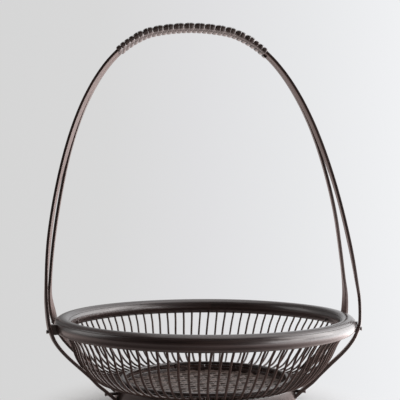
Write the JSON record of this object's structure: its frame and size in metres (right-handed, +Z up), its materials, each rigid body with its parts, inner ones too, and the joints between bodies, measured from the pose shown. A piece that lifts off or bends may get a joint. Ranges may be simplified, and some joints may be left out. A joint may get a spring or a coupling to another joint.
{
  "type": "bamboo basket with arch handle",
  "caption": "Round open bamboo basket: fine upright spokes between a floor hoop and a thick rim, on a foot ring, with a tall arch handle of flat strips, wrapped at the top.",
  "frame": {"origin": "on the ground plane under the middle of the outline; the foot ring's own middle lies 2.5 mm towards +X, because the arch of the handle leans towards -X", "axes": "+Z up, +X along the arch of the handle, towards its right end as the picture shows it; the front of the basket faces -Y"},
  "size_m": [0.3152, 0.2998, 0.3803],
  "materials": {
    "lacquered_hoop": "dark lacquered bamboo, glossy",
    "lacquered_spoke": "dark lacquered split bamboo, satin",
    "brown_strip": "dark brown lacquered bamboo strip, glossy",
    "plaited_floor": "plaited bamboo splints, thin dark stain, satin",
    "black_cane": "black lacquered cane, glossy",
    "dark_peg": "dark stained bamboo peg, satin"
  },
  "bodies": {
    "root": {"foot_ring": "lacquered_hoop", "floor_ledge_hoop": "lacquered_hoop", "floor_hoop": "lacquered_hoop", "floor_batten_lower": "brown_strip", "floor_batten_upper": "brown_strip", "woven_floor": "plaited_floor", "spoke_slat_01": "lacquered_spoke", "spoke_slat_02": "lacquered_spoke", "spoke_slat_03": "lacquered_spoke", "spoke_slat_04": "lacquered_spoke", "spoke_slat_05": "lacquered_spoke", "spoke_slat_06": "lacquered_spoke", "spoke_slat_07": "lacquered_spoke", "spoke_slat_08": "lacquered_spoke", "spoke_slat_09": "lacquered_spoke", "spoke_slat_10": "lacquered_spoke", "spoke_slat_11": "lacquered_spoke", "spoke_slat_12": "lacquered_spoke", "spoke_slat_13": "lacquered_spoke", "spoke_slat_14": "lacquered_spoke", "spoke_slat_15": "lacquered_spoke", "spoke_slat_16": "lacquered_spoke", "spoke_slat_17": "lacquered_spoke", "spoke_slat_18": "lacquered_spoke", "spoke_slat_19": "lacquered_spoke", "spoke_slat_20": "lacquered_spoke", "spoke_slat_21": "lacquered_spoke", "spoke_slat_22": "lacquered_spoke", "spoke_slat_23": "lacquered_spoke", "spoke_slat_24": "lacquered_spoke", "spoke_slat_25": "lacquered_spoke", "spoke_slat_26": "lacquered_spoke", "spoke_slat_27": "lacquered_spoke", "spoke_slat_28": "lacquered_spoke", "spoke_slat_29": "lacquered_spoke", "spoke_slat_30": "lacquered_spoke", "rim_cap_hoop": "lacquered_hoop", "rim_outer_hoop": "lacquered_hoop", "rim_inner_hoop": "lacquered_hoop", "handle_strip_front": "brown_strip", "handle_strip_rear": "brown_strip", "handle_wrap": "black_cane", "rim_peg_front_right": "dark_peg", "foot_peg_front_right": "dark_peg", "rim_peg_rear_right": "dark_peg", "foot_peg_rear_right": "dark_peg", "rim_peg_front_left": "dark_peg", "foot_peg_front_left": "dark_peg", "rim_peg_rear_left": "dark_peg", "foot_peg_rear_left": "dark_peg"}
  },
  "joints": []
}
